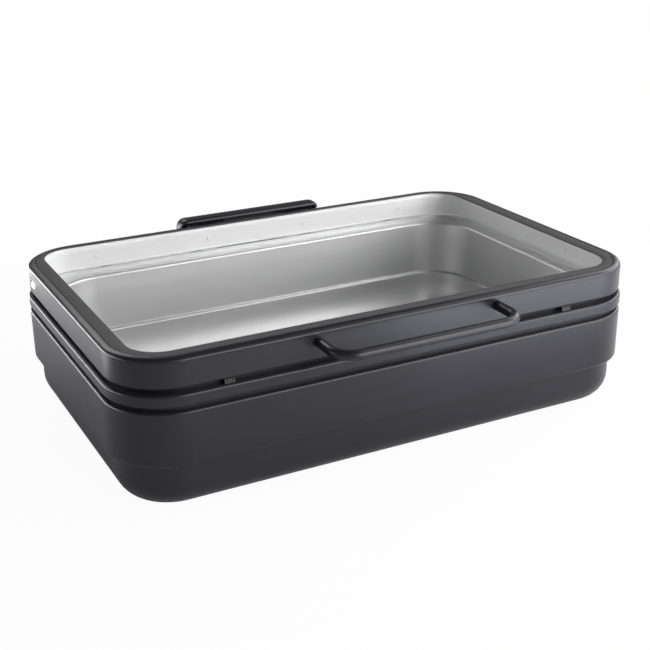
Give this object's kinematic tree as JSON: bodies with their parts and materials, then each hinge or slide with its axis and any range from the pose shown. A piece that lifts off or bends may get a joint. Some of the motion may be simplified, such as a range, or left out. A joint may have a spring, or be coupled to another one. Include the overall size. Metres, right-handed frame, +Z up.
{
  "type": "chafing dish",
  "caption": "Rectangular chafing dish: stepped dark shell with a steel water tub, and a framed glass lid with a bar handle that swings up on a hooded rear hinge.",
  "frame": {"origin": "middle of the underside of the heating base, on the surface the dish stands on", "axes": "+X along the long side to the right, +Y to the back where the hinge is, +Z up"},
  "size_m": [0.564, 0.4335, 0.1574],
  "materials": {
    "satin_coat": "anthracite satin coating",
    "stainless": "satin stainless steel",
    "polished_steel": "polished stainless steel",
    "seal_rubber": "matte grained silicone rubber",
    "bumper_rubber": "matte ribbed rubber",
    "clear_glass": "clear toughened glass",
    "bush_bronze": "sintered bronze",
    "damper_case": "black moulded case"
  },
  "bodies": {
    "base": {"outer_shell": "satin_coat", "rim_frame": "satin_coat", "rim_rivets": "stainless", "water_tub": "stainless", "heating_base": "stainless", "lid_bumpers": "bumper_rubber", "hinge_bracket": "satin_coat", "hinge_bushes": "bush_bronze", "hinge_damper": "damper_case", "bracket_screws": "polished_steel"},
    "lid": {"lid_band": "satin_coat", "lid_bezel": "satin_coat", "glass_seal": "seal_rubber", "lid_glass": "clear_glass", "lid_liner": "stainless", "liner_rivets": "polished_steel", "side_studs": "polished_steel", "handle": "satin_coat", "handle_screws": "polished_steel", "left_hinge_arm": "satin_coat", "right_hinge_arm": "satin_coat", "arm_screws": "polished_steel", "hinge_pin": "polished_steel", "pin_clips": "stainless", "hinge_hood": "satin_coat", "hood_screws": "polished_steel"}
  },
  "joints": [
    {"name": "lid_hinge", "type": "hinge", "parent": "base", "child": "lid", "pos_m": [0, 0.1935, 0.1444], "axis": [-1, 0, 0], "range_deg": [0, 90]}
  ]
}
